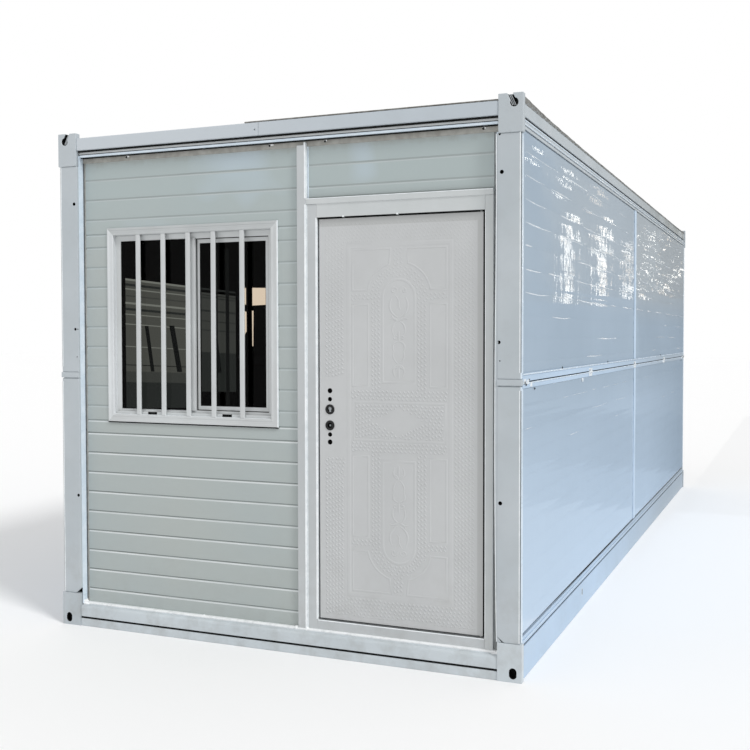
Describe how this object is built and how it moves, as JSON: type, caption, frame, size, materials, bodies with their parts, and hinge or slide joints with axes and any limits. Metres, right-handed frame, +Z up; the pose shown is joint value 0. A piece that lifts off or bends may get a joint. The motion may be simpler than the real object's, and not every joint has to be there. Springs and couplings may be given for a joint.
{
  "type": "folding container house",
  "caption": "Box-shaped steel-framed cabin with ribbed sandwich-panel walls that fold at mid-height, a hinged door and a barred sliding window in one end.",
  "frame": {"origin": "on the ground at the middle of the plan", "axes": "+X to the house's right seen from the front, +Y from the front end wall to the rear one, +Z up"},
  "size_m": [2.44, 5.85, 2.5],
  "materials": {
    "frame_paint": "satin",
    "end_panel_paint": "satin",
    "side_panel_film": "gloss, with the thin protective film still on",
    "trim_paint": "satin",
    "window_alloy": "powder coat",
    "window_glass": "clear",
    "door_paint": "satin, pressed pattern",
    "bare_steel": "zinc plated",
    "roof_paint": "satin",
    "ceiling_paint": "satin",
    "floor_board": "bare board",
    "joist_zinc": "galvanised"
  },
  "bodies": {
    "house": {"bottom_corner_blocks": "frame_paint", "top_corner_blocks": "frame_paint", "front_left_post": "frame_paint", "front_right_post": "frame_paint", "rear_left_post": "frame_paint", "rear_right_post": "frame_paint", "post_fold_bands": "frame_paint", "base_beam_front": "frame_paint", "base_beam_rear": "frame_paint", "base_rail_left": "frame_paint", "base_rail_right": "frame_paint", "roof_beam_front": "frame_paint", "roof_beam_rear": "frame_paint", "roof_rail_left": "frame_paint", "roof_rail_right": "frame_paint", "left_fold_rails": "frame_paint", "right_fold_rails": "frame_paint", "rear_wall_lower": "end_panel_paint", "rear_wall_middle": "end_panel_paint", "rear_wall_upper": "end_panel_paint", "front_wall_lower": "end_panel_paint", "front_wall_middle": "end_panel_paint", "front_wall_upper": "end_panel_paint", "transom_panel": "end_panel_paint", "left_wall_lower": "side_panel_film", "left_wall_upper": "side_panel_film", "right_wall_lower": "side_panel_film", "right_wall_upper": "side_panel_film", "side_cover_strips": "trim_paint", "end_wall_top_rails": "trim_paint", "front_mullion": "trim_paint", "door_jamb_left": "trim_paint", "door_jamb_right": "trim_paint", "door_head": "trim_paint", "door_sill": "trim_paint", "window_frame": "window_alloy", "window_sash": "window_alloy", "window_glass": "window_glass", "side_fold_hinges": "bare_steel", "roof_sheet": "roof_paint", "ceiling_panel": "ceiling_paint", "floor_board": "floor_board", "floor_joists": "joist_zinc"},
    "door": {"door_leaf": "door_paint", "door_lock_rings": "bare_steel"}
  },
  "joints": [
    {"name": "door_hinge", "type": "hinge", "parent": "house", "child": "door", "pos_m": [1.018, -2.861, 0.162], "axis": [0, 0, 1], "range_deg": [0, 100]}
  ]
}
